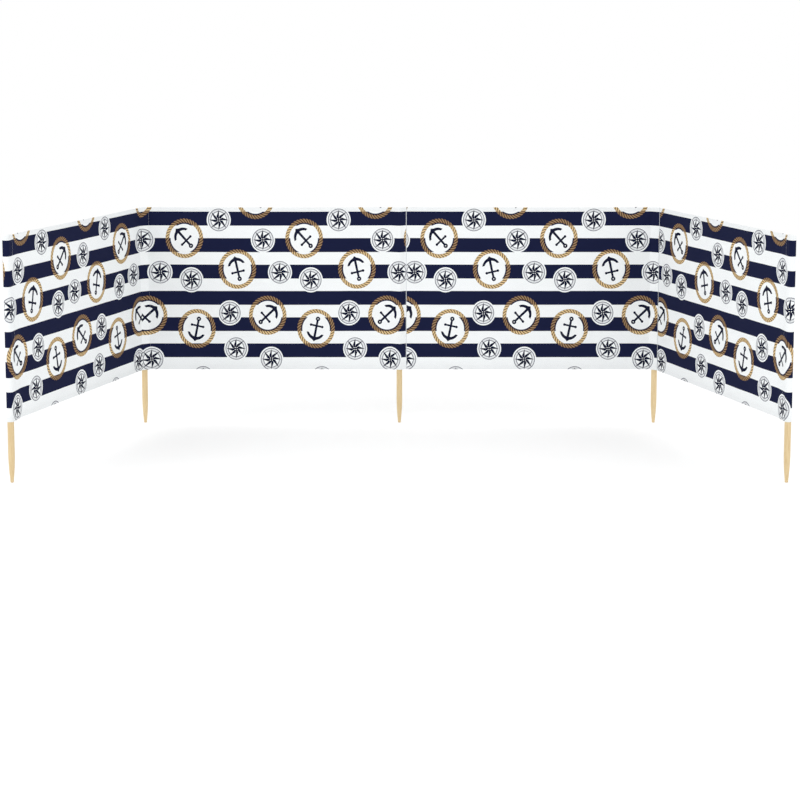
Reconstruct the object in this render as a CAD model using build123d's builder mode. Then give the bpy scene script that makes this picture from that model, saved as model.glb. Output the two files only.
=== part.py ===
# Beach windbreak: four cloth bays on five sharpened wooden stakes, pitched in a U.
# Millimetres, +Z up. The origin is the cut tip of the centre stake. The two inner bays
# stand in one line along X, and the two wings fold forward, towards -Y.

import os
from math import acos, atan2, cos, hypot, radians, sin

from build123d import *

# The layout on the ground
stake_spacing = 1250.0  # axis to axis, the width of one bay
wing_fold = 71.0  # how far each wing turns forward from the line of the inner bays

# The stakes
stake_radius = 14.0
leg_length = 265.0  # from the cut tip up to the lower edge of the cloth
point_length = 130.0  # the sharpened stretch
tip_radius = 6.5  # the flat where the point is cut off
stake_top_ease = 4.0  # the bevel round the upper end

# The cloth
cloth_height = 800.0
cloth_thickness = 1.6
hem_height = 20.0
hem_thickness = 3.0
hem_fold_round = 1.2  # the rounded edge where the hem is folded over

# The pockets that the stakes slide into
pocket_play = 0.3  # between a stake and its pocket, all round and at the top
pocket_wall = 1.2
seam_reach = 27.0  # from the stake's axis to the seam that closes its pocket
seam_width = 8.0  # the flat flap that is sewn to the bay's cloth
seam_thickness = 2.4
pocket_cap = 2.0  # the sewn-shut top
pocket_hem_wall = 0.7  # what the folded hem adds to the pocket's wall at both ends
cap_ease = 0.8  # the bevel round the sewn-shut top
fold_gap = 0.3  # between a pocket and the cloth that folds round it

# Sizes that follow
cloth_bottom = leg_length
cloth_top = cloth_bottom + cloth_height
pocket_inner = stake_radius + pocket_play
pocket_outer = pocket_inner + pocket_wall
pocket_hem_outer = pocket_outer + pocket_hem_wall
seam_end = seam_reach + seam_width
stake_top = cloth_top - pocket_cap - pocket_play
bay_count = 4

os.makedirs("parts", exist_ok=True)


def heading(angle):
    """The direction of a bay on the ground, as a vector."""
    return Vector(cos(radians(angle)), sin(radians(angle)), 0)


# Each bay runs from its own stake to the next one, from left to right.
bay_angles = [wing_fold, 0.0, 0.0, -wing_fold]
centre = Vector(0, 0, 0)
left_inner = centre - heading(bay_angles[1]) * stake_spacing
right_inner = centre + heading(bay_angles[2]) * stake_spacing
left_outer = left_inner - heading(bay_angles[0]) * stake_spacing
right_outer = right_inner + heading(bay_angles[3]) * stake_spacing
stake_places = [left_outer, left_inner, centre, right_inner, right_outer]


def bay_plane(place, angle, height):
    """A level plane at a stake, with its X along a bay."""
    return Plane(origin=place + Vector(0, 0, height), x_dir=heading(angle), z_dir=(0, 0, 1))


def keep(part, name):
    """Label a finished piece and write its file."""
    part.label = name
    export_step(part, f"parts/{name}.step")


# The stakes: round dowels, sharpened to a blunt point below and eased at the top.
for number, place in enumerate(stake_places, start=1):
    with BuildPart() as stake:
        with BuildSketch(Plane(origin=place, x_dir=(1, 0, 0), z_dir=(0, -1, 0))):
            with BuildLine():
                shoulder = (stake_radius, point_length)
                Line((0, 0), (tip_radius, 0))
                TangentArc(shoulder, (tip_radius, 0), tangent=(0, -1))
                Polyline(
                    shoulder,
                    (stake_radius, stake_top - stake_top_ease),
                    (stake_radius - stake_top_ease, stake_top),
                    (0, stake_top),
                    (0, 0),
                )
            make_face()
        revolve(axis=Axis(place, (0, 0, 1)))
    keep(stake.part, f"stake_{number}")

# The pockets: a teardrop tube that hugs the stake, open below and sewn shut above, with
# its seam flap along one bay. The hem of the bay runs on round both ends as a thicker
# band. The last stake's pocket has its seam in the bay before it.
pocket_angles = bay_angles + [bay_angles[-1] + 180]
top_band_bottom = cloth_top - hem_height


def turn_to_seam(radius, half_flap):
    """The turn from the seam's direction to where the straight run to it leaves the round."""
    flap_corner = hypot(seam_reach, half_flap)
    return atan2(half_flap, seam_reach) + acos(radius / flap_corner)


def round_ends(radius, turn):
    """The two ends of a pocket's round, where the straight runs to the seam start."""
    rise = Vector(radius * cos(turn), radius * sin(turn))
    return rise, Vector(rise.X, -rise.Y)


for number, (place, angle) in enumerate(zip(stake_places, pocket_angles), start=1):
    with BuildPart() as pocket:
        for radius, flap, height, tall in (
            (pocket_outer, seam_thickness, cloth_bottom, cloth_height),
            (pocket_hem_outer, hem_thickness, cloth_bottom, hem_height),
            (pocket_hem_outer, hem_thickness, top_band_bottom, hem_height),
        ):
            rise, fall = round_ends(radius, turn_to_seam(radius, flap / 2))
            with BuildSketch(bay_plane(place, angle, height)):
                with BuildLine():
                    ThreePointArc(rise, (-radius, 0), fall)
                    Polyline(
                        fall,
                        (seam_reach, -flap / 2),
                        (seam_end, -flap / 2),
                        (seam_end, flap / 2),
                        (seam_reach, flap / 2),
                        rise,
                    )
                make_face()
            extrude(amount=tall)
        chamfer(pocket.edges().group_by(Axis.Z)[-1], length=cap_ease)
        turn = turn_to_seam(pocket_outer, seam_thickness / 2)
        rise, fall = round_ends(pocket_inner, turn)
        with BuildSketch(bay_plane(place, angle, cloth_bottom)):
            with BuildLine():
                ThreePointArc(rise, (-pocket_inner, 0), fall)
                Polyline(fall, (pocket_inner / cos(turn), 0), rise)
            make_face()
        extrude(amount=cloth_height - pocket_cap, mode=Mode.SUBTRACT)
    keep(pocket.part, f"pocket_{number}")

# The bays: a panel of cloth between two pockets, with a folded hem along its top and its
# bottom. Each runs from the seam at its own stake to the pocket of the next one, where it
# ends hollow so that it can swing round. The last bay ends in a seam at both stakes.
panel_bottom = cloth_bottom + hem_height


def cross_plane(place, angle, reach, height):
    """An upright plane across a bay, at a reach from its stake, with its Y upwards."""
    corner = place + heading(angle) * reach + Vector(0, 0, height)
    return Plane(origin=corner, x_dir=heading(angle + 90), z_dir=heading(angle))


def clear_next_pocket(place, radius):
    """Cut the room for the next pocket out of the end of a strip of cloth."""
    with Locations(place):
        Cylinder(
            radius + fold_gap,
            cloth_top,
            align=(Align.CENTER, Align.CENTER, Align.MIN),
            mode=Mode.SUBTRACT,
        )


for number in range(1, bay_count + 1):
    place = stake_places[number - 1]
    next_place = stake_places[number]
    angle = bay_angles[number - 1]
    is_last = number == bay_count
    run = stake_spacing - seam_end - (seam_end if is_last else 0)

    with BuildPart() as panel:
        with BuildSketch(cross_plane(place, angle, seam_end, panel_bottom)):
            Rectangle(
                cloth_thickness,
                top_band_bottom - panel_bottom,
                align=(Align.CENTER, Align.MIN),
            )
        extrude(amount=run)
        if not is_last:
            clear_next_pocket(next_place, pocket_outer)
    keep(panel.part, f"bay_{number}")

    for name, height, folded_row in (
        ("top_hem", top_band_bottom, -1),
        ("bottom_hem", cloth_bottom, 0),
    ):
        with BuildPart() as hem:
            with BuildSketch(cross_plane(place, angle, seam_end, height)) as section:
                Rectangle(hem_thickness, hem_height, align=(Align.CENTER, Align.MIN))
                folded_edge = section.vertices().group_by(Axis.Y)[folded_row]
                fillet(folded_edge, radius=hem_fold_round)
            extrude(amount=run)
            if not is_last:
                clear_next_pocket(next_place, pocket_hem_outer)
        keep(hem.part, f"{name}_{number}")

print(f"cloth {cloth_height:.0f} high, stakes {stake_top:.0f} long")
print(f"across the wings {(right_outer - left_outer).length:.0f}")
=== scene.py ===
import math
from functools import reduce

import bmesh
import bpy
import numpy as np
from mathutils import Matrix, Vector


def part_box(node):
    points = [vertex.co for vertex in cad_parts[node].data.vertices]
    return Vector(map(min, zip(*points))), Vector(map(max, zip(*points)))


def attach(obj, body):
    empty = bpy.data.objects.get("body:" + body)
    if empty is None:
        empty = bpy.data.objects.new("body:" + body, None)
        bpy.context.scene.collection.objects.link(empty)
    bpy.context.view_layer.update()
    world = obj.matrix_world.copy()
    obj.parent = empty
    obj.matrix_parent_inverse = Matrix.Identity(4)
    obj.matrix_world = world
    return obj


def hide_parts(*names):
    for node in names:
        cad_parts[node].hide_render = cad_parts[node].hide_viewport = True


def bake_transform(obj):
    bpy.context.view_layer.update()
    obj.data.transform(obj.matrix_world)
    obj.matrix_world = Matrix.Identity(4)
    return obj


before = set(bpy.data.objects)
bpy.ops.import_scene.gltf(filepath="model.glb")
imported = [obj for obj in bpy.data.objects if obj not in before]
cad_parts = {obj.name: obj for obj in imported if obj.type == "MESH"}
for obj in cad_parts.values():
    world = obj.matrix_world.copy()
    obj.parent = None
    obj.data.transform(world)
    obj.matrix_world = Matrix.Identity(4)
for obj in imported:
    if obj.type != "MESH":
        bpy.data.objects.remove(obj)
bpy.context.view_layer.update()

print("windbreak: the frame is loaded")

# Where the stakes stand, and the way each bay runs
stakeCount = 5
bayCount = 4


def placeOf(nodeName):
    low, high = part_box(nodeName)
    return np.array(((Vector(low) + Vector(high)) / 2)[:2])


stakePlaces = [placeOf(f"stake_{number}") for number in range(1, stakeCount + 1)]
bayWidths, bayRuns = [], []
for near, far in zip(stakePlaces[:-1], stakePlaces[1:]):
    bayWidths.append(float(np.linalg.norm(far - near)))
    bayRuns.append((far - near) / bayWidths[-1])
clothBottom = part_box("bottom_hem_2")[0][2]
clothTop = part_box("top_hem_2")[1][2]
clothHeight = clothTop - clothBottom
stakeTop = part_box("stake_3")[1][2]
stakeRadius = (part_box("stake_3")[1][0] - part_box("stake_3")[0][0]) / 2
bayBodies = ["left_wing", "left_middle", "right_middle", "right_wing"]
stakeBodies = ["left_wing", "left_middle", "left_middle", "right_middle", "right_wing"]


def addObject(name, data):
    obj = bpy.data.objects.new(name, data)
    bpy.context.scene.collection.objects.link(obj)
    return obj


# Camera
cameraPlace = {
    "lens": 81.98,
    "sensor": 36.0,
    "shift": -0.2,  # keeps the stakes nearly upright, as in the photograph
    "side": 0.003,
    "distance": 8.804,
    "height": 1.950,
    "tilt": 6.776,  # degrees below level
}


def makeCamera():
    data = bpy.data.cameras.new("camera")
    data.lens = cameraPlace["lens"]
    data.sensor_width = cameraPlace["sensor"]
    data.shift_y = cameraPlace["shift"]
    data.clip_end = 200
    camera = addObject("camera", data)
    camera.location = (cameraPlace["side"], -cameraPlace["distance"], cameraPlace["height"])
    camera.rotation_euler = (math.radians(90 - cameraPlace["tilt"]), 0, 0)
    bpy.context.scene.camera = camera


makeCamera()
print("windbreak: the camera is up")


# Helpers for node trees
def newTree(name, inputs, kind="ShaderNodeTree", **outputs):
    # gives the tree, the sockets that bring its inputs in, and the node that takes its outputs
    tree = bpy.data.node_groups.new(name, kind)

    def addSocket(title, way, socketKind):
        return tree.interface.new_socket(title, in_out=way, socket_type="NodeSocket" + socketKind)

    for title, socketKind, value in inputs:
        socket = addSocket(title, "INPUT", socketKind)
        if value is not None:
            socket.default_value = value
    for title, socketKind in outputs.items():
        addSocket(title, "OUTPUT", socketKind)
    return tree, tree.nodes.new("NodeGroupInput").outputs, tree.nodes.new("NodeGroupOutput")


def isSocket(value):
    return isinstance(value, bpy.types.NodeSocket)


def feed(socket, value):
    if isSocket(value):
        socket.id_data.links.new(value, socket)
    else:
        socket.default_value = value


def feedAll(node, **values):
    for title, value in values.items():
        feed(node.inputs[title], value)
    return node


def feedInTurn(node, values):
    for socket, value in zip(node.inputs, values):
        feed(socket, value)
    return node


def nodeFor(kind, *values):
    # a new node in the tree that the first socket among the values belongs to
    return next(value for value in values if isSocket(value)).id_data.nodes.new(kind)


def addNode(kind, **values):
    return feedAll(nodeFor(kind, *values.values()), **values)


def sumOf(operation, kind="ShaderNodeMath", result=0):
    # gives a function that adds one sum to the tree of its values
    def add(*values):
        node = nodeFor(kind, *values)
        node.operation = operation
        return feedInTurn(node, values).outputs[result]

    return add


plus, minus, times, divided = map(sumOf, ("ADD", "SUBTRACT", "MULTIPLY", "DIVIDE"))
less, more, lesser, greater = map(sumOf, ("LESS_THAN", "GREATER_THAN", "MINIMUM", "MAXIMUM"))
timesPlus, power, root, unsigned = map(sumOf, ("MULTIPLY_ADD", "POWER", "SQRT", "ABSOLUTE"))
sine, cosine, angleOf, fraction = map(sumOf, ("SINE", "COSINE", "ARCTAN2", "FRACT"))
wrapped = sumOf("WRAP")
vectorPlus = sumOf("ADD", "ShaderNodeVectorMath")
vectorMinus = sumOf("SUBTRACT", "ShaderNodeVectorMath")
vectorTimes = sumOf("MULTIPLY", "ShaderNodeVectorMath")
lengthOf = sumOf("LENGTH", "ShaderNodeVectorMath", 1)


def scaled(vector, share):
    node = nodeFor("ShaderNodeVectorMath", vector, share)
    node.operation = "SCALE"
    return feedAll(node, Vector=vector, Scale=share).outputs["Vector"]


def blendColours(share, first, second):
    node = nodeFor("ShaderNodeMix", share)
    node.data_type = "RGBA"
    node.clamp_factor = True
    return feedAll(node, Factor=share, A=first, B=second).outputs["Result"]


def partsOf(vector):
    return addNode("ShaderNodeSeparateXYZ", Vector=vector).outputs


def joinUp(x, y, z=0.0):
    return addNode("ShaderNodeCombineXYZ", X=x, Y=y, Z=z).outputs[0]


def anyOf(*masks):
    return reduce(greater, masks)


def allOf(*masks):
    return reduce(times, masks)


def within(value, low, high):
    return allOf(more(value, low), less(value, high))


def paint(red, green, blue):
    # an ordinary 0 to 255 colour, as the shaders want it
    def one(value):
        value = value / 255
        return value / 12.92 if value <= 0.04045 else ((value + 0.055) / 1.055) ** 2.4
    return (one(red), one(green), one(blue), 1.0)


# How the cloth is cut and sewn
clothCut = {
    "half": 0.00035,  # half the cloth's thickness
    "pocketRound": 0.0157,  # from a stake's axis to the middle of the cloth round it
    "seamReach": 0.027,
    "leadIn": 0.042,  # where the cloth leaves its own line to pass over a stake in a straight run
    "outerLead": 0.085,  # the same at the two outer stakes
    "cutEdgeHighlight": 0.0026,  # the lapped cloth's cut edge, drawn as a pale strip: partly the real edge, partly painted highlight along the seam
    "seamLap": 0.008,
    "frontLift": 0.0009,
    "backLift": 0.0013,
    "tuck": 0.004,  # the start of a bay is tucked into the pocket's seam
    "softBend": 0.008,
    "fineStep": 0.0022,
    "wideStep": 0.0140,
    "fineReach": 0.055,  # the cloth is fine this near to a stake
    "widening": 0.08,  # and over this much more the steps grow wide
    "middleRows": 44,
    "hemHeight": 0.020,
    "hemHalf": 0.0011,
    "hemSet": -0.00055,  # the hem is folded to the back
    "stitchLine": 0.0165,
    "dent": 0.00022,  # how deep a row of stitches lies in the hem
}

# The cloth's print: stripes, anchors in rings of rope, and compass roses, in metres of cloth
printDesign = {
    "firstStripe": 0.021,  # from the top edge down to the first navy stripe
    "stripePitch": 0.130,
    "navyShare": 0.527,
    "repeat": 0.5827,  # the width of cloth after which the motifs come again
    "motifStretch": 1.06,  # motifs are this much taller than wide
    "ropeOuter": 0.0922,
    "ropeInner": 0.0725,
    "ropeDisc": 0.0962,  # a little wider than the rope
    "anchorDisc": 0.0672,
    "roseDisc": 0.0585,
    "thinly": (0.44, 0.38, 0.40),  # what is left of the rope's colour over navy
    "paintedEdgeReach": 0.045,  # painted shade: the cloth is drawn darker over this reach from its top and bottom edges, where the hems are double
    "paintedEdgeShade": 0.058,
    # across and down from the top edge, and the turn of the anchor in degrees
    "anchors": [
        (0.2037, 0.1525, -137), (0.4602, 0.3030, -167), (0.2595, 0.5975, -12),
        (0.0234, 0.5310, 132), (0.5510, -0.0400, 90),
    ],
    "roses": [
        (0.3720, 0.0618), (0.0030, 0.1590), (0.0850, 0.3188), (0.2352, 0.3560),
        (0.4212, 0.5195), (0.4502, 0.6965), (0.0399, 0.7490), (0.2870, 0.8400),
    ],
}
clothColours = {
    "navy": paint(24, 29, 59),
    "white": paint(244, 247, 248),
    "rope light": paint(240, 209, 156),
    "rope dark": paint(60, 38, 18),
    "ink": paint(20, 24, 48),
    # the pale cut edge: partly the cloth's real edge, partly painted highlight along the seam
    "edgeAndHighlight": paint(214, 218, 222),
    "rose line": paint(92, 94, 108),
}


def makeAnchorShape():
    # a plain admiralty anchor, ring upwards, about 0.127 m tall round its middle
    anchor = {
        "ringHeight": 0.0465, "ringRadius": 0.0066, "ringHalf": 0.0040,
        "shankLow": -0.050, "shankHigh": 0.0410, "shankHalf": 0.0052, "shankFlare": 0.012,
        "stockHeight": 0.0135, "stockReach": 0.0280, "stockHalf": 0.0042, "knob": 0.0060,
        "armCentre": -0.0060, "armRadius": 0.0400, "armHalf": 0.0078, "armTaper": 0.070,
        "armEnd": -0.0215, "crownTip": -0.0610, "crownSlope": 1.15, "crownHeight": 0.0180,
    }
    tree, given, outlet = newTree("anchor shape", [("Place", "Vector", None)], Mask="Float")
    x, y = partsOf(given["Place"])[:2]
    side = unsigned(x)

    def fromPoint(across, up):
        return lengthOf(joinUp(minus(side, across), minus(y, up)))

    ringGap = minus(fromPoint(0.0, anchor["ringHeight"]), anchor["ringRadius"])
    ring = less(unsigned(ringGap), anchor["ringHalf"])
    low = minus(anchor["stockHeight"], y)
    flare = timesPlus(low, anchor["shankFlare"], anchor["shankHalf"])
    shank = allOf(less(side, flare), within(y, anchor["shankLow"], anchor["shankHigh"]))
    height = unsigned(minus(y, anchor["stockHeight"]))
    stock = allOf(less(height, anchor["stockHalf"]), less(side, anchor["stockReach"]))
    knob = less(fromPoint(anchor["stockReach"], anchor["stockHeight"]), anchor["knob"])
    armGap = minus(fromPoint(0.0, anchor["armCentre"]), anchor["armRadius"])
    taper = timesPlus(side, -anchor["armTaper"], anchor["armHalf"])
    arms = allOf(less(unsigned(armGap), taper), less(y, anchor["armEnd"]))
    rise = minus(y, anchor["crownTip"])
    crown = allOf(
        less(side, times(rise, anchor["crownSlope"])),
        within(rise, 0.0, anchor["crownHeight"]),
    )
    feedAll(outlet, Mask=anyOf(ring, shank, stock, knob, arms, crown))
    return tree


def makeRopeShape():
    # a ring of laid rope: leaning strands, each lit along its middle, dark in the grooves
    rope = {
        "strands": 36.0,
        "lay": 4.1,  # how far each strand leans, in radians of its round
        "proud": 0.16,  # each strand stands out this much at its middle
        "edgeShade": 0.35,
        "groove": 0.7,
    }
    tree, given, outlet = newTree(
        "rope ring", [("Place", "Vector", None)], Mask="Float", Light="Float"
    )
    middle = (printDesign["ropeOuter"] + printDesign["ropeInner"]) / 2
    half = (printDesign["ropeOuter"] - printDesign["ropeInner"]) / 2
    place = given["Place"]
    x, y = partsOf(place)[:2]
    gap = minus(lengthOf(place), middle)
    across = divided(gap, half)  # -1 inside to 1 outside
    lean = times(across, -rope["lay"])
    phase = timesPlus(angleOf(y, x), rope["strands"], lean)
    strand = timesPlus(sine(phase), 0.5, 0.5)
    edge = timesPlus(strand, rope["proud"], 1.0 - rope["proud"])
    dome = timesPlus(times(across, across), -rope["edgeShade"], 1.0)
    feedAll(
        outlet,
        Mask=less(unsigned(across), edge),
        Light=times(power(strand, rope["groove"]), dome),
    )
    return tree


def makeRoseShape():
    # a plain eight-point rose in two rings: each ray is solid on one side and open on the other
    rose = {
        "outerRing": 0.0505, "innerRing": 0.0385, "ringHalf": 0.0015, "bandShade": 0.22,
        "longRay": 0.0500, "shortRay": 0.0450, "rayWidth": 0.0118, "rayShoulder": 0.0140,
        "raySpine": 0.0016, "hub": 0.0125, "hubDot": 0.0023, "hubDotReach": 0.0048,
    }
    tree, given, outlet = newTree(
        "compass rose", [("Place", "Vector", None)], Ink="Float", Line="Float"
    )
    place = given["Place"]
    x, y = partsOf(place)[:2]
    reach = lengthOf(place)
    turn = angleOf(y, x)
    eighth = math.pi / 4
    swing = wrapped(turn, eighth * 0.75, -eighth * 0.25)
    along = times(reach, cosine(swing))
    across = times(reach, sine(swing))
    diagonal = less(cosine(times(turn, 4.0)), 0.0)
    length = timesPlus(diagonal, rose["longRay"] - rose["shortRay"], rose["shortRay"])
    shoulder = rose["rayShoulder"]
    outward = divided(along, shoulder)
    inward = divided(minus(length, along), minus(length, shoulder))
    width = times(lesser(outward, inward), rose["rayWidth"])
    rays = allOf(within(across, -rose["raySpine"], width), less(along, length))

    def ringAt(radius):
        gap = unsigned(minus(reach, radius))
        return less(gap, rose["ringHalf"])

    def dotGap(value):
        return minus(unsigned(value), rose["hubDotReach"])

    clear = more(lengthOf(joinUp(dotGap(x), dotGap(y))), rose["hubDot"])
    hub = less(reach, rose["hub"])
    band = within(reach, rose["innerRing"], rose["outerRing"])
    band = times(band, rose["bandShade"])
    feedAll(
        outlet,
        Ink=allOf(anyOf(rays, hub), clear),
        Line=anyOf(ringAt(rose["outerRing"]), ringAt(rose["innerRing"]), band),
    )
    return tree


def useGroup(group, **values):
    node = nodeFor("ShaderNodeGroup", *values.values())
    node.node_tree = group
    return feedAll(node, **values)


def withRepeats(motifs, radius):
    # a motif that crosses the side of the repeat is drawn again a repeat away
    repeat = printDesign["repeat"]
    result = []
    for across, *rest in motifs:
        for place in (across, across + repeat, across - repeat):
            if -radius < place < repeat + radius:
                result.append((place, *rest))
    return result


def makeNauticalPrint():
    # the print, with painted shade towards the cloth's top and bottom edges
    tree, given, outlet = newTree(
        "nautical print",
        [
            ("Cloth", "Vector", None),
            ("Height", "Float", clothHeight),
            ("Navy", "Color", clothColours["navy"]),
            ("White", "Color", clothColours["white"]),
        ],
        Color="Color",
    )
    across, up = partsOf(given["Cloth"])[:2]
    down = minus(given["Height"], up)
    stripes = minus(down, printDesign["firstStripe"])
    stripes = divided(stripes, printDesign["stripePitch"])
    navyHere = allOf(less(fraction(stripes), printDesign["navyShare"]), more(stripes, 0.0))
    stretch = printDesign["motifStretch"]
    place = joinUp(wrapped(across, printDesign["repeat"], 0.0), divided(down, stretch))

    def pick(motifs, radius):
        # the one motif that covers this point: its mask, and the point in the motif's own axes
        covered, local = 0.0, (0.0, 0.0, 0.0)
        for motif in withRepeats(motifs, radius):
            gap = vectorMinus(place, (motif[0], motif[1] / stretch, 0.0))
            here = less(lengthOf(gap), radius)
            if len(motif) > 2:
                turned = nodeFor("ShaderNodeVectorRotate", gap)
                turned.rotation_type = "Z_AXIS"
                gap = feedAll(turned, Vector=gap, Angle=math.radians(motif[2])).outputs[0]
            covered = plus(here, covered)
            local = vectorPlus(scaled(gap, here), local)
        return covered, vectorTimes(local, (1.0, -1.0, 1.0))

    roseHere, rosePlace = pick(printDesign["roses"], printDesign["roseDisc"])
    ringHere, ringPlace = pick(printDesign["anchors"], printDesign["ropeDisc"])
    inDisc = less(lengthOf(ringPlace), printDesign["anchorDisc"])
    discHere = allOf(ringHere, inDisc)
    anchor = useGroup(makeAnchorShape(), Place=ringPlace).outputs
    rope = useGroup(makeRopeShape(), Place=ringPlace).outputs
    rose = useGroup(makeRoseShape(), Place=rosePlace).outputs
    white = given["White"]
    colour = blendColours(navyHere, white, given["Navy"])
    colour = blendColours(anyOf(roseHere, discHere), colour, white)
    lines = allOf(roseHere, rose["Line"])
    colour = blendColours(lines, colour, clothColours["rose line"])
    ink = anyOf(allOf(discHere, anchor["Mask"]), allOf(roseHere, rose["Ink"]))
    colour = blendColours(ink, colour, clothColours["ink"])
    ropeColour = blendColours(rope["Light"], clothColours["rope dark"], clothColours["rope light"])
    # the rope is printed thinly, so the navy under it shows
    thinned = vectorTimes(ropeColour, printDesign["thinly"])
    ropeColour = blendColours(navyHere, ropeColour, thinned)
    colour = blendColours(allOf(ringHere, rope["Mask"]), colour, ropeColour)
    # painted shade: the colour darkens towards the top and bottom edges
    inside = divided(lesser(down, up), printDesign["paintedEdgeReach"])
    hem = minus(1.0, lesser(inside, 1.0))
    shade = timesPlus(hem, -printDesign["paintedEdgeShade"], 1.0)
    feedAll(outlet, Color=scaled(colour, shade))
    return tree


clothFinish = {
    "thread": 0.00055,
    "weaveShade": 0.18,  # painted shade, from the gaps between the threads to their middles
    "weaveBase": 0.868,
    "weaveDepth": 0.00010,
    "weaveStrength": 0.35,
    "roughness": 0.74,
    "uneven": 0.08,
    "sheen": 0.01,
    "specular": 0.05,
    "backFade": 0.08,  # how much paler the print is on the back
    "mottle": 0.035,
    "mottleScale": 9.0,
    "mottleDetail": 4.0,
}


def makeWeave():
    # plain weave: threads go over and under each other in turn
    tree, given, outlet = newTree(
        "plain weave",
        [("Cloth", "Vector", None), ("Thread", "Float", clothFinish["thread"])],
        Height="Float", Shade="Float",
    )
    count = divided(1.0, given["Thread"])
    x, y = partsOf(scaled(given["Cloth"], count))[:2]
    warp = sine(times(x, math.pi))
    weft = sine(times(y, math.pi))
    warpOver = more(times(warp, weft), 0.0)
    weftOver = minus(1.0, warpOver)
    warp = times(unsigned(warp), warpOver)
    weft = times(unsigned(weft), weftOver)
    height = plus(warp, weft)
    # painted shade: the colour is darker in the gaps between the threads
    shade = timesPlus(height, clothFinish["weaveShade"], clothFinish["weaveBase"])
    feedAll(outlet, Height=height, Shade=shade)
    return tree


def newMaterial(name):
    material = bpy.data.materials.new(name)
    material.use_nodes = True
    return material, material.node_tree, material.node_tree.nodes["Principled BSDF"]


def attributeOf(tree, name):
    node = tree.nodes.new("ShaderNodeAttribute")
    node.attribute_name = name
    return node.outputs["Fac"]


def addBump(shader, height, strength, depth):
    bump = addNode("ShaderNodeBump", Strength=strength, Distance=depth, Height=height)
    feedAll(shader, Normal=bump.outputs["Normal"])


def makeClothMaterial(nauticalPrint, weave):
    material, tree, shader = newMaterial("printed cloth")
    layer = tree.nodes.new("ShaderNodeUVMap")
    layer.uv_map = "cloth"
    cloth = layer.outputs["UV"]
    printed = useGroup(nauticalPrint, Cloth=cloth)
    woven = useGroup(weave, Cloth=cloth, Thread=clothFinish["thread"])
    fade = times(attributeOf(tree, "backSide"), clothFinish["backFade"])
    colour = blendColours(fade, printed.outputs["Color"], clothColours["white"])
    # painted highlight along the seams, partly the lapped cloth's real cut edge
    colour = blendColours(attributeOf(tree, "edgeAndHighlight"), colour, clothColours["edgeAndHighlight"])
    mottle = addNode(
        "ShaderNodeTexNoise", Vector=cloth,
        Scale=clothFinish["mottleScale"], Detail=clothFinish["mottleDetail"],
    ).outputs["Fac"]
    cloudy = timesPlus(mottle, clothFinish["mottle"], 1.0 - clothFinish["mottle"] * 0.5)
    # the weave's painted shade, with the cloth's cloudy tone
    shade = times(woven.outputs["Shade"], cloudy)
    feed(shader.inputs["Base Color"], scaled(colour, shade))
    rough = timesPlus(mottle, clothFinish["uneven"], clothFinish["roughness"])
    feedAll(shader, Roughness=rough)
    shader.inputs["Sheen Weight"].default_value = clothFinish["sheen"]
    shader.inputs["Specular IOR Level"].default_value = clothFinish["specular"]
    addBump(
        shader, woven.outputs["Height"],
        clothFinish["weaveStrength"], clothFinish["weaveDepth"],
    )
    return material


threadFinish = {
    "dark": paint(196, 198, 204),
    "light": paint(226, 228, 232),
    "twists": 900.0,
    "roughness": 0.6,
}


def makeThreadMaterial():
    material, tree, shader = newMaterial("sewing thread")
    place = tree.nodes.new("ShaderNodeTexCoord").outputs["Object"]
    twist = addNode(
        "ShaderNodeTexWave", Vector=place, Scale=threadFinish["twists"], Distortion=1.0
    )
    colour = blendColours(twist.outputs["Fac"], threadFinish["dark"], threadFinish["light"])
    feed(shader.inputs["Base Color"], colour)
    shader.inputs["Roughness"].default_value = threadFinish["roughness"]
    return material


stakeFinish = {
    "pale": paint(231, 210, 168),
    "warm": paint(219, 193, 146),
    "latewood": paint(200, 168, 118),
    # how each noise is stretched along the stake, its scale and its detail
    "broad": (0.05, 90.0, 3.0),
    "fibre": (0.012, 900.0, 5.0),
    "tone": (0.3, 6.0, 2.0),
    "rings": 46.0,
    "ringSharpness": 3.0,
    "lateShare": 0.42,
    "fibreShade": 0.20,
    "fibreBase": 0.88,
    "roughness": 0.62,
    "uneven": 0.12,
    "bumpStrength": 0.35,
    "grainDepth": 0.0003,
    "lateRise": 0.4,
    "specular": 0.3,
}


def makeWoodMaterial():
    material, tree, shader = newMaterial("stake softwood")
    place = tree.nodes.new("ShaderNodeTexCoord").outputs["Object"]

    def grain(title):
        stretch, scale, detail = stakeFinish[title]
        drawn = vectorTimes(place, (1.0, 1.0, stretch))
        noise = addNode("ShaderNodeTexNoise", Vector=drawn, Scale=scale, Detail=detail)
        return noise.outputs["Fac"]

    fibre = grain("fibre")
    rings = sine(times(grain("broad"), stakeFinish["rings"]))
    late = power(timesPlus(rings, 0.5, 0.5), stakeFinish["ringSharpness"])
    colour = blendColours(grain("tone"), stakeFinish["pale"], stakeFinish["warm"])
    lateShare = times(late, stakeFinish["lateShare"])
    colour = blendColours(lateShare, colour, stakeFinish["latewood"])
    shade = timesPlus(fibre, stakeFinish["fibreShade"], stakeFinish["fibreBase"])
    feed(shader.inputs["Base Color"], scaled(colour, shade))
    smoothest = stakeFinish["roughness"] - stakeFinish["uneven"] / 2
    feedAll(shader, Roughness=timesPlus(fibre, stakeFinish["uneven"], smoothest))
    rise = plus(fibre, times(late, stakeFinish["lateRise"]))
    addBump(shader, rise, stakeFinish["bumpStrength"], stakeFinish["grainDepth"])
    shader.inputs["Specular IOR Level"].default_value = stakeFinish["specular"]
    return material


clothMaterial = makeClothMaterial(makeNauticalPrint(), makeWeave())
threadMaterial = makeThreadMaterial()
woodMaterial = makeWoodMaterial()
print("windbreak: the materials are mixed")


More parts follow.
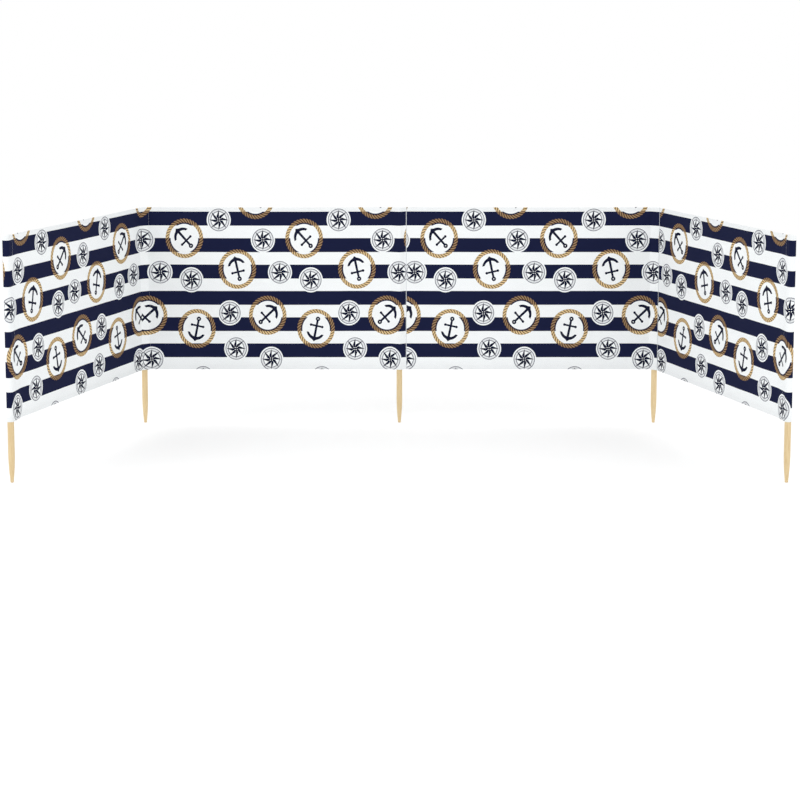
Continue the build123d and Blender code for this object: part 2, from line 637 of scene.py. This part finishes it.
# The plan of the cloth, seen from above, as lists of points from left to right
planRules = {
    "leastSweep": 0.6,  # radians: less than this round a stake means a whole turn more
    "turns": 40,
    "softStep": 0.0005,
    "least": 1e-7,  # points closer than this are one
    "near": 0.001,  # the way ahead is taken this far to either side
    "straight": 0.99,  # the cosine between two bays in one line
    "clear": 0.10,  # well past a stake's pocket
    "aside": 1e-5,
}


def travelOf(points):
    return np.append(0.0, np.cumsum(np.linalg.norm(np.diff(points, axis=0), axis=1)))


def pathAt(places, travel, points):
    return np.column_stack([np.interp(places, travel, points[:, axis]) for axis in (0, 1)])


def sideOf(run):
    return np.array([run[1], -run[0]])  # the side that faces the open front


def roundStake(centre, before, after):
    # round a stake against the clock, hugging its pocket, from one point of the plan to the next
    radius = clothCut["pocketRound"]

    def seen(point):
        gap = point - centre
        return math.atan2(gap[1], gap[0]), math.acos(radius / np.linalg.norm(gap))

    (first, near), (last, far) = seen(before), seen(after)
    sweep = (last - first) % (2 * math.pi)
    if sweep < planRules["leastSweep"]:
        sweep += 2 * math.pi
    if sweep <= near + far:
        return []
    turns = np.linspace(first + near, first + sweep - far, planRules["turns"])
    return [centre + radius * np.array([math.cos(turn), math.sin(turn)]) for turn in turns]


def outerFlap(stake, inward, front):
    # the back of an outer pocket lies on its front, which slants from the stake to the bay's line
    lead = clothCut["outerLead"]
    slant = math.tan(math.asin(clothCut["pocketRound"] / lead))
    points = []
    for reach in (clothCut["seamReach"], clothCut["seamReach"] + clothCut["seamLap"]):
        aside = (lead - reach) * slant - clothCut["backLift"]
        points.append(stake + inward * reach + front * aside)
    return points, stake + inward * lead


def evenly(points, step):
    points = np.array(points)
    lengths = np.linalg.norm(np.diff(points, axis=0), axis=1)
    points = points[np.append(True, lengths > planRules["least"])]
    travel = travelOf(points)
    places = np.linspace(0.0, travel[-1], max(2, int(round(travel[-1] / step)) + 1))
    return pathAt(places, travel, points)


def softened(points):
    # ease the bends of a path, with its ends kept
    step = planRules["softStep"]
    points = evenly(points, step)
    reach = int(clothCut["softBend"] / step / 2)
    before = 2 * points[0] - points[reach:0:-1]
    after = 2 * points[-1] - points[-2:-reach - 2:-1]
    longer = np.vstack([before, points, after])
    kernel = np.hanning(2 * reach + 3)[1:-1]
    kernel = kernel / kernel.sum()
    return np.column_stack([np.convolve(longer[:, axis], kernel, mode="valid") for axis in (0, 1)])


def bayPlan(number):
    # the middle line of a bay's cloth, with what it wraps at either end
    here, there = stakePlaces[number - 1], stakePlaces[number]
    run = bayRuns[number - 1]
    front = sideOf(run)
    reach, lap = clothCut["seamReach"], clothCut["seamLap"]
    points = []
    if number == 1:
        (near, far), joins = outerFlap(here, run, front)
        points += [far, near] + roundStake(here, near, joins) + [joins]
    else:
        points += [here + run * (reach - clothCut["tuck"]), here + run * reach]
    if number == bayCount:
        (near, far), joins = outerFlap(there, -run, front)
        points += [joins] + roundStake(there, joins, near) + [near, far]
    else:
        onward = bayRuns[number]
        straight = onward @ run > planRules["straight"]
        joins = there - run * (clothCut["leadIn"] if straight else reach)
        ahead = sideOf(onward) * clothCut["frontLift"]
        points += [joins] + roundStake(there, joins, there + onward * reach)
        points += [there + onward * reach + ahead, there + onward * (reach + lap) + ahead]
    return softened(points)


def pocketBackPlan(number):
    # the strip behind an inner stake, from the seam round to the back of the bay before it
    here = stakePlaces[number - 1]
    before, onward = bayRuns[number - 2], bayRuns[number - 1]
    reach, lap, lift = clothCut["seamReach"], clothCut["seamLap"], clothCut["backLift"]
    start = here - sideOf(onward) * lift
    end = here - sideOf(before) * lift
    points = [start + onward * (reach + lap), start + onward * reach]
    points += roundStake(here, here + onward * reach, here - before * reach)
    points += [end - before * reach, end - before * (reach + lap)]
    return softened(points)


def columns(plan):
    # the plan cut into columns: fine near the stakes and wide between them
    travel = travelOf(plan)
    nearest = np.min([np.linalg.norm(plan - place, axis=1) for place in stakePlaces], axis=0)
    fine, wide = clothCut["fineStep"], clothCut["wideStep"]
    places, at = [0.0], 0.0
    while at < travel[-1]:
        gap = np.interp(at, travel, nearest)
        share = np.clip((gap - clothCut["fineReach"]) / clothCut["widening"], 0, 1)
        at += fine + share * (wide - fine)
        places.append(min(at, travel[-1]))
    if places[-1] - places[-2] < fine / 3:
        places.pop(-2)
    places = np.array(places)
    near = planRules["near"]
    ahead = pathAt(places + near, travel, plan) - pathAt(places - near, travel, plan)
    ahead = ahead / np.linalg.norm(ahead, axis=1)[:, None]
    return places, pathAt(places, travel, plan), np.column_stack([ahead[:, 1], -ahead[:, 0]])


def hemmedSection():
    # the cloth cut through from bottom to top: height, how far it stands forward, back or front
    half, hem, dent = clothCut["half"], clothCut["hemHeight"], clothCut["dent"]
    bulk, lean, stitch = clothCut["hemHalf"], clothCut["hemSet"], clothCut["stitchLine"]
    face, rear = lean + bulk, lean - bulk
    plain = hem + 0.003
    lowHalf = [
        (bulk, face, rear), (0.006, face, rear), (0.012, face, rear),
        (stitch - 0.0012, face, rear), (stitch, face - dent, rear + dent),
        (stitch + 0.0012, face, rear), (hem - 0.0006, face - 0.0001, rear + 0.0002),
        (hem + 0.0002, half + 0.0001, -half - 0.0002), (plain, half, -half),
    ]
    levels = np.linspace(plain, clothHeight - plain, clothCut["middleRows"])[1:-1]
    middle = [(height, half, -half) for height in levels]
    highHalf = [(clothHeight - height, front, back) for height, front, back in reversed(lowHalf)]
    sides = lowHalf + middle + highHalf
    bends = [(math.sin(turn), math.cos(turn)) for turn in np.linspace(0, math.pi, 7)[1:-1]]
    loop = [(height, front, 0.0) for height, front, back in sides]
    loop += [(clothHeight - bulk + bulk * up, lean + bulk * out, 0.5) for up, out in bends]
    loop += [(height, back, 1.0) for height, front, back in reversed(sides)]
    loop += [(bulk - bulk * up, lean - bulk * out, 0.5) for up, out in bends]
    return np.array(loop)


relief = {
    "belly": 0.0018,  # how far the cloth between two stakes stands out of true
    "bellyLow": 0.15,  # the belly's swing at the bottom and the top, as shares of a half round
    "bellyHigh": 0.85,
    "ripple": 0.0007,
    # half rounds along a bay, and the shift in radians from bay to bay and up the cloth
    "swell": (2.3, 1.7, 1.4),
    "ripples": [(9.0, 2.1, 5.0), (14.0, 1.0, -3.3)],
    "sag": 0.0015,
    "calm": 0.10,  # no relief this near to a stake
}


def reliefAt(along, up, run, number):
    # gentle unevenness of stretched cloth, nothing at the stakes
    span = np.clip(along / run, 0, 1)
    edge = np.clip(np.minimum(along, run - along) / relief["calm"], 0, 1)
    hold = edge * edge * (3 - 2 * edge)
    rise = up / clothHeight

    def wave(swings, byBay, byHeight):
        return np.sin(swings * math.pi * span + byBay * number + byHeight * rise)

    height = relief["bellyLow"] + (relief["bellyHigh"] - relief["bellyLow"]) * rise
    belly = np.sin(math.pi * span) * np.sin(math.pi * height) * wave(*relief["swell"])
    ripple = sum(wave(*ripple) for ripple in relief["ripples"])
    return hold * (relief["belly"] * belly + relief["ripple"] * ripple)


def levelAt(travel, length, height):
    # the cloth sags a little from its ends to its middle, most at its top
    dip = relief["sag"] * np.sin(math.pi * travel / length)
    return clothBottom + height - dip * (height / clothHeight)


def smoothFaces(mesh, corner=None):
    mesh.polygons.foreach_set("use_smooth", [True] * len(mesh.polygons))
    if corner is not None:  # bends sharper than this many degrees stay sharp
        mesh.set_sharp_from_angle(angle=math.radians(corner))


def meshObject(name, points, faces, cloth, marks):
    mesh = bpy.data.meshes.new(name)
    mesh.from_pydata([tuple(point) for point in points], [], faces)
    layer = mesh.uv_layers.new(name="cloth")
    layer.data.foreach_set("uv", np.asarray(cloth, np.float32).ravel())
    for title, values in marks.items():
        mark = mesh.attributes.new(title, "FLOAT", "POINT")
        mark.data.foreach_set("value", np.asarray(values, np.float32))
    shape = bmesh.new()
    shape.from_mesh(mesh)
    bmesh.ops.recalc_face_normals(shape, faces=shape.faces[:])
    shape.to_mesh(mesh)
    shape.free()
    smoothFaces(mesh, 50)
    mesh.materials.append(clothMaterial)
    return addObject(name, mesh)


def onCloth(cloth, travel, height, stand):
    # points on a hung cloth: how far along it, how high, and how far in front of its middle
    travel, height = np.broadcast_arrays(np.asarray(travel, float), np.asarray(height, float))
    places, points, sides = cloth["columns"]
    forward = (stand + cloth["lift"](travel, height)).reshape(-1, 1)
    middle = pathAt(travel, places, points) + pathAt(travel, places, sides) * forward
    return np.column_stack([middle, levelAt(travel, places[-1], height)])


def hang(plan, lift):
    return {"columns": columns(plan), "lift": lift, "length": float(travelOf(plan)[-1])}


def sweepCloth(name, hung, printAt, edgeHighlightFrom=math.inf):
    # sweep the hemmed section along a plan; printAt gives the print's place from the travel
    places, points, sides = hung["columns"]
    section = hemmedSection()
    count, turns = len(places), len(section)
    height, forward = section[:, 0][None, :], section[:, 1][None, :]
    stand = forward + hung["lift"](places[:, None], height)
    plane = points[:, None, :] + sides[:, None, :] * stand[:, :, None]
    level = levelAt(places[:, None], places[-1], height)
    vertices = np.concatenate([plane, level[:, :, None]], axis=2)
    faces = []
    for column in range(count - 1):
        for row in range(turns):
            after = (row + 1) % turns
            low, high = column * turns, (column + 1) * turns
            faces.append((low + row, high + row, high + after, low + after))
    faces.append(tuple(range(turns)))
    faces.append(tuple((count - 1) * turns + row for row in reversed(range(turns))))
    # each face takes its print from its own middle, so that a seam in the print stays sharp
    cloth = []
    for face in faces:
        corners = np.array(face)
        travel = places[corners // turns]
        across = printAt(travel, travel.mean())
        cloth.append(np.column_stack([across, section[corners % turns, 0]]))
    marks = {
        "backSide": np.tile(section[:, 2], count),
        "edgeAndHighlight": np.repeat(places > edgeHighlightFrom, turns),
    }
    return meshObject(name, vertices.reshape(-1, 3), faces, np.concatenate(cloth), marks)


# How each bay's print lies: the print's place at the bay's first stake, and the way it runs
bayPrints = {
    1: {"start": 0.086, "way": -1.0165},
    2: {"start": 0.0, "way": 1.0},
    3: {"start": 0.0102, "way": 1.0},
    4: {"start": -0.036, "way": 1.0165},
}
stripPrint = 0.30  # the strips behind the stakes take the print from here, the other way round

# At the left fold the wing's mirrored print meets the next bay's, which eases in from there
foldPrint = {
    "meets": 0.018,  # so far before the fold's middle
    "middle": 0.0085,  # the flat bay's own place for the fold's middle
    "lean": 0.87,  # the cloth stands aslant there, so it takes less of the print
    "shift": 0.007,
    "reach": 0.090,
}


def easedPrint(flat):
    away = (foldPrint["reach"] - flat) / foldPrint["reach"]
    return flat + foldPrint["shift"] * np.clip(away, 0.0, 1.0)


def flatStart(number, plan):
    # the travel along the plan at the stake's own axis, were the cloth flat from there
    here, run = stakePlaces[number - 1], bayRuns[number - 1]
    travel = travelOf(plan)
    along = (plan - here) @ run
    aside = np.abs((plan - here) @ sideOf(run))
    flat = np.argmax((aside < planRules["aside"]) & (along > planRules["clear"]))
    return travel[flat] - along[flat]


def foldTravel(plan, stake):
    # the travel along a plan where it comes nearest to a stake
    return travelOf(plan)[np.argmin(np.linalg.norm(plan - stakePlaces[stake - 1], axis=1))]


clothPieces, pocketBacks = {}, {}


def makeBayCloth(number):
    plan = bayPlan(number)
    start = flatStart(number, plan)
    fold = foldTravel(plan, number + 1)
    settings = bayPrints[number]

    def printAt(travel, middle):
        if number == 1 and middle > fold - foldPrint["meets"]:
            return easedPrint(foldPrint["middle"] + foldPrint["lean"] * (travel - fold))
        place = settings["start"] + settings["way"] * (travel - start)
        return easedPrint(place) if number == 2 else place

    def lift(places, height):
        return reliefAt(places - start, height, bayWidths[number - 1], number)

    hung = clothPieces[number] = hang(plan, lift)
    hung["start"] = start
    length = hung["length"]
    # painted highlight: the end of bays 2 and 3 is drawn pale, partly their real cut edge
    edgeHighlightFrom = length - clothCut["cutEdgeHighlight"] if number in (2, 3) else math.inf
    cloth = sweepCloth(f"clothBay_{number}", hung, printAt, edgeHighlightFrom)
    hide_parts(f"bay_{number}", f"top_hem_{number}", f"bottom_hem_{number}")
    if number == 1:
        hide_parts("pocket_1")
    if number == bayCount:
        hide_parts("pocket_5")
    return cloth


def makePocketBack(number):
    def printAt(travel, middle):
        return stripPrint - travel

    def lift(places, height):  # the strips have no relief
        return 0 * places * height

    hung = pocketBacks[number] = hang(pocketBackPlan(number), lift)
    strip = sweepCloth(f"pocketBack_{number}", hung, printAt)
    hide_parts(f"pocket_{number}")
    return strip


def acrossFold(piece):
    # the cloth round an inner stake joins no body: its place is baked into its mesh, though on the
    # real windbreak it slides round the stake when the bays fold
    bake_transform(piece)


def followBay(piece, number):
    # a piece of a bay goes across the bay's far stake; the last bay ends at an outer one
    if number < bayCount:
        acrossFold(piece)
    else:
        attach(piece, bayBodies[number - 1])


for number in range(1, bayCount + 1):
    followBay(makeBayCloth(number), number)
for number in range(2, stakeCount):
    acrossFold(makePocketBack(number))
print("windbreak: the cloth is hung")


# The caps that close the pockets over the stakes
capShape = {
    "reach": 0.0154,
    "crown": 0.0007,  # how much the middle stands above the rim
    "drop": 0.0011,  # from the cloth's top edge down to the rim
    "rim": 0.0030,
    "thick": 0.0006,
    "shoulder": 0.0004,
    "sides": 40,
    "outer": (0.18, 0.36, 0.54, 0.72, 0.88, 0.96),  # rings, as shares of the reach
    "inner": (0.88, 0.54, 0.18),
    "flat": 0.033,
    "printAcross": 0.16,  # the caps are cut from the plain top margin of the cloth
    "printDown": 0.010,
}


def makeCap(number):
    reach, drop, thick = capShape["reach"], capShape["drop"], capShape["thick"]
    shoulder, rim = -drop - capShape["shoulder"], -drop - capShape["rim"]

    def domed(shares, under):
        crown = capShape["crown"]
        return [(reach * share, crown * (1 - share ** 2) - drop - under) for share in shares]

    profile = domed(capShape["outer"], 0.0)
    profile += [(reach, shoulder), (reach, rim)]
    profile += [(reach - thick, rim), (reach - thick, shoulder - thick)]
    profile += domed(capShape["inner"], thick)
    sides, turns = capShape["sides"], len(profile)
    here = stakePlaces[number - 1]
    vertices, faces = [], []
    for side in range(sides):
        angle = 2 * math.pi * side / sides
        low, high = side * turns, (side + 1) % sides * turns
        for radius, rise in profile:
            across, back = radius * math.cos(angle), radius * math.sin(angle)
            vertices.append((here[0] + across, here[1] + back, clothTop + rise))
        for row in range(turns - 1):
            faces.append((low + row, high + row, high + row + 1, low + row + 1))
    for row in (0, turns - 1):
        middle = len(vertices)
        vertices.append((here[0], here[1], vertices[row][2]))
        for side in range(sides):
            faces.append((side * turns + row, (side + 1) % sides * turns + row, middle))
    cloth = []
    for face in faces:
        for corner in face:
            across, back = vertices[corner][0] - here[0], vertices[corner][1] - here[1]
            up = clothHeight - capShape["printDown"] + back * 0.5
            cloth.append((capShape["printAcross"] + across, up))
    marks = dict.fromkeys(("backSide", "edgeAndHighlight"), np.zeros(len(vertices)))
    cap = meshObject(f"pocketCap_{number}", vertices, faces, cloth, marks)
    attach(cap, stakeBodies[number - 1])


for number in range(1, stakeCount + 1):
    makeCap(number)
print("windbreak: the caps are on")


def applyTree(obj, tree, values):
    modifier = obj.modifiers.new(tree.name, "NODES")
    modifier.node_group = tree
    for item in tree.interface.items_tree:
        if item.item_type == "SOCKET" and item.in_out == "INPUT" and item.name in values:
            modifier[item.identifier] = values[item.name]
    graph = bpy.context.evaluated_depsgraph_get()
    made = bpy.data.meshes.new_from_object(obj.evaluated_get(graph))
    obj.modifiers.remove(modifier)
    obj.data = made
    made.name = obj.name


def numbersOf(settings, titles, kind="Float"):
    return [(title, kind, settings[title]) for title in titles]


def newShapeTree(name, inputs):
    inputs = [("Geometry", "Geometry", None), *inputs, ("Material", "Material", None)]
    return newTree(name, inputs, "GeometryNodeTree", Geometry="Geometry")


def finishTree(mesh, material, outlet):
    real = addNode("GeometryNodeRealizeInstances", Geometry=mesh).outputs[0]
    coated = addNode("GeometryNodeSetMaterial", Geometry=real, Material=material)
    feedAll(outlet, Geometry=coated.outputs["Geometry"])


# The stitches: rows of thread along the hems and the pockets' seams
stitchShape = {
    "Pitch": 0.0042,
    "Length": 0.0029,
    "Width": 0.00062,
    "proud": 0.0001,  # how far the middle of a stitch stands off the cloth
    "inset": 0.0045,  # from a cut edge to its row of stitches
    "end": 0.004,
    "steps": 90,  # up a seam
}


def makeStitchTree():
    tree, size, outlet = newShapeTree(
        "row of stitches", numbersOf(stitchShape, ("Pitch", "Length", "Width"))
    )
    rows = addNode("GeometryNodeMeshToCurve", Mesh=size["Geometry"])
    places = tree.nodes.new("GeometryNodeCurveToPoints")
    places.mode = "LENGTH"
    feedAll(places, Curve=rows.outputs["Curve"], Length=size["Pitch"])
    stitch = tree.nodes.new("GeometryNodeMeshUVSphere")
    feedAll(stitch, Segments=6, Rings=4, Radius=0.5)
    aligned = tree.nodes.new("FunctionNodeAlignRotationToVector")
    aligned.axis = "X"
    feedAll(aligned, Vector=places.outputs["Tangent"])
    laid = addNode(
        "GeometryNodeInstanceOnPoints",
        Points=places.outputs["Points"],
        Instance=stitch.outputs["Mesh"],
        Rotation=aligned.outputs["Rotation"],
        Scale=joinUp(size["Length"], size["Width"], size["Width"]),
    )
    finishTree(laid.outputs["Instances"], size["Material"], outlet)
    return tree


def stitchRows(cloth, upright):
    # hem rows on both faces of a cloth, and upright rows at (travel, which face)
    half, hem, lean = clothCut["half"], clothCut["hemHalf"], clothCut["hemSet"]
    proud, end, length = stitchShape["proud"], stitchShape["end"], cloth["length"]
    travel = cloth["columns"][0]
    travel = travel[(travel > end) & (travel < length - end)]
    rows = []
    for height in (clothCut["stitchLine"], clothHeight - clothCut["stitchLine"]):
        for face in (1, -1):
            stand = lean + face * (hem - clothCut["dent"] + proud)
            rows.append(onCloth(cloth, travel, height, stand))
    heights = np.linspace(end, clothHeight - end, stitchShape["steps"])
    nearHem = np.minimum(heights, clothHeight - heights) < clothCut["hemHeight"]
    for place, face in upright:
        flush = np.where(nearHem, lean + face * hem, face * half)
        rows.append(onCloth(cloth, place, heights, flush + face * proud))
    return rows


def rowObject(name, rows):
    vertices, edges = [], []
    for row in rows:
        first = len(vertices)
        vertices += [tuple(point) for point in row]
        edges += [(first + step, first + step + 1) for step in range(len(row) - 1)]
    mesh = bpy.data.meshes.new(name)
    mesh.from_pydata(vertices, edges, [])
    return addObject(name, mesh)


def makeStitches():
    tree = makeStitchTree()
    inset = stitchShape["inset"]
    seam = clothCut["seamReach"] + clothCut["seamLap"] - inset
    for number in range(1, bayCount + 1):
        cloth = clothPieces[number]
        start, length = cloth["start"], cloth["length"]
        upright = [(length - inset, 1)]
        if number == 1:  # the flap's own edge, and its row where it comes through in front
            upright += [(inset, 1), (start + seam, 1)]
        if number == bayCount:
            upright += [(start + bayWidths[number - 1] - seam, 1)]
        rows = stitchRows(cloth, upright)
        if number < bayCount:
            back = pocketBacks[number + 1]
            rows += stitchRows(back, [(inset, 1), (back["length"] - inset, 1)])
        stitches = rowObject(f"seamStitches_{number}", rows)
        applyTree(stitches, tree, {"Material": threadMaterial})
        smoothFaces(stitches.data)
        followBay(stitches, number)
        print(f"windbreak: {len(stitches.data.polygons)} faces of thread on bay {number}")


makeStitches()


# The stakes, drawn by rule: a round rod whose lower end narrows in a long curve to a cut tip
stakeShape = {
    "Point": 0.130,
    "Tip": 0.0065,
    "Edge": 0.0012,  # the small bevel round the cut tip
    "Rings": 170,
    "Sides": 48,
    "Crowding": 1.7,  # more rings near the tip
    "Waver": 0.00018,  # the rod is not quite true
    "waverScale": 9.0,
}


def makeStakeTree():
    tree, size, outlet = newShapeTree("sharpened stake", [
        ("Length", "Float", stakeTop),
        ("Radius", "Float", stakeRadius),
        *numbersOf(stakeShape, ("Point", "Tip", "Edge", "Crowding", "Waver")),
        *numbersOf(stakeShape, ("Rings", "Sides"), "Int"),
        ("Seed", "Float", 0.0),
    ])
    line = tree.nodes.new("GeometryNodeCurvePrimitiveLine")
    rings = addNode("GeometryNodeResampleCurve", Curve=line.outputs["Curve"], Count=size["Rings"])
    share = tree.nodes.new("GeometryNodeSplineParameter").outputs["Factor"]
    height = times(power(share, size["Crowding"]), size["Length"])
    centre = joinUp(0.0, 0.0, height)
    noise = tree.nodes.new("ShaderNodeTexNoise")
    noise.noise_dimensions = "4D"
    feedAll(noise, W=size["Seed"], Vector=centre, Scale=stakeShape["waverScale"], Detail=1.0)
    wander = scaled(vectorMinus(noise.outputs["Color"], (0.5, 0.5, 0.5)), 2.0)
    wander = vectorTimes(scaled(wander, size["Waver"]), (1.0, 1.0, 0.0))
    moved = addNode(
        "GeometryNodeSetPosition",
        Geometry=rings.outputs["Curve"], Position=vectorPlus(centre, wander),
    )
    # the long curve of the point: an arc that leaves the rod without a corner
    place = tree.nodes.new("GeometryNodeInputPosition").outputs[0]
    height = partsOf(place)["Z"]
    drop = minus(size["Radius"], size["Tip"])
    square = plus(times(size["Point"], size["Point"]), times(drop, drop))
    sweep = divided(square, times(drop, 2.0))
    below = greater(minus(size["Point"], height), 0.0)
    reach = root(minus(times(sweep, sweep), times(below, below)))
    radius = minus(size["Radius"], minus(sweep, reach))
    fromTip = divided(height, size["Edge"])
    fromTop = minus(size["Length"], height)
    fromTop = divided(fromTop, times(size["Edge"], 3.0))
    toEdge = minus(1.0, lesser(lesser(fromTip, fromTop), 1.0))
    radius = minus(radius, times(times(toEdge, toEdge), size["Edge"]))
    circle = addNode("GeometryNodeCurvePrimitiveCircle", Radius=1.0, Resolution=size["Sides"])
    rod = addNode("GeometryNodeCurveToMesh", Curve=moved.outputs["Geometry"], Scale=radius)
    feed(rod.inputs["Profile Curve"], circle.outputs["Curve"])
    feed(rod.inputs["Fill Caps"], True)
    finishTree(rod.outputs["Mesh"], size["Material"], outlet)
    return tree


def makeStakes():
    tree = makeStakeTree()
    for number, place in enumerate(stakePlaces, start=1):
        name = f"stakeRod_{number}"
        stake = addObject(name, bpy.data.meshes.new(name))
        values = {"Length": stakeTop, "Radius": stakeRadius, "Seed": float(number)}
        values["Material"] = woodMaterial
        applyTree(stake, tree, values)
        stake.data.transform(Matrix.Translation((place[0], place[1], 0.0)))
        smoothFaces(stake.data, 40)
        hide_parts(f"stake_{number}")
        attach(stake, stakeBodies[number - 1])


makeStakes()
print("windbreak: the stakes are turned")


# Light and floor
studio = {
    "world": 1.10,
    "background": 1.0,
    "lamps": {"left": ((-5.2, -4.0, 3.6), 42.0), "right": ((5.2, -4.0, 3.6), 20.0)},
    "lampSize": 3.0,
    "lampAim": (0, -0.3, 0.6),
    "floor": 0.88,
    "floorReach": 40.0,
    "floorRoughness": 0.9,
    "glow": 0.13,  # seen by the camera only, so that the floor looks white
    "fadeStart": 3.0,
    "fadeEnd": 7.0,  # from here on the floor is the background's own white
}


def cameraSees(tree):
    path = tree.nodes.new("ShaderNodeLightPath").outputs
    rays = [path[f"Is {kind} Ray"] for kind in ("Camera", "Glossy", "Transmission")]
    return anyOf(*rays)


def joinShaders(kind, *values):
    return feedInTurn(nodeFor(kind, *values), values).outputs[0]


def makeFloor():
    mesh = bpy.data.meshes.new("floor")
    corners = [(-1, -1), (1, -1), (1, 1), (-1, 1)]
    size = studio["floorReach"]
    mesh.from_pydata([(x * size, y * size, 0) for x, y in corners], [], [(0, 1, 2, 3)])
    addObject("floor", mesh)
    material, tree, shader = newMaterial("pale floor")
    shader.inputs["Base Color"].default_value = (studio["floor"],) * 3 + (1.0,)
    shader.inputs["Roughness"].default_value = studio["floorRoughness"]
    shader.inputs["Specular IOR Level"].default_value = 0.0
    place = tree.nodes.new("ShaderNodeTexCoord").outputs["Object"]
    away = minus(lengthOf(place), studio["fadeStart"])
    fade = divided(away, studio["fadeEnd"] - studio["fadeStart"])
    fade = lesser(greater(fade, 0.0), 1.0)
    seen = cameraSees(tree)
    glow = addNode("ShaderNodeEmission", Strength=times(seen, studio["glow"]))
    white = feedAll(tree.nodes.new("ShaderNodeEmission"), Strength=studio["background"])
    lit = joinShaders("ShaderNodeAddShader", shader.outputs[0], glow.outputs[0])
    faded = joinShaders("ShaderNodeMixShader", times(seen, fade), lit, white.outputs[0])
    feedAll(tree.nodes["Material Output"], Surface=faded)
    mesh.materials.append(material)


def makeWorld():
    world = bpy.data.worlds.new("studio")
    bpy.context.scene.world = world
    world.use_nodes = True
    tree = world.node_tree
    tree.nodes.clear()
    extra = studio["background"] - studio["world"]
    strength = timesPlus(cameraSees(tree), extra, studio["world"])
    sky = addNode("ShaderNodeBackground", Color=(1.0, 1.0, 1.0, 1.0), Strength=strength)
    addNode("ShaderNodeOutputWorld", Surface=sky.outputs[0])


def makeLamps():
    for name, (place, energy) in studio["lamps"].items():
        data = bpy.data.lights.new(name, "AREA")
        data.shape = "DISK"
        data.size = studio["lampSize"]
        data.energy = energy
        lamp = addObject(name, data)
        lamp.location = place
        aim = Vector(studio["lampAim"]) - lamp.location
        lamp.rotation_euler = aim.to_track_quat("-Z", "Y").to_euler()


makeFloor()
makeWorld()
makeLamps()
bpy.context.scene.view_settings.view_transform = "Standard"
print("windbreak: the light is up")

print("windbreak: done")
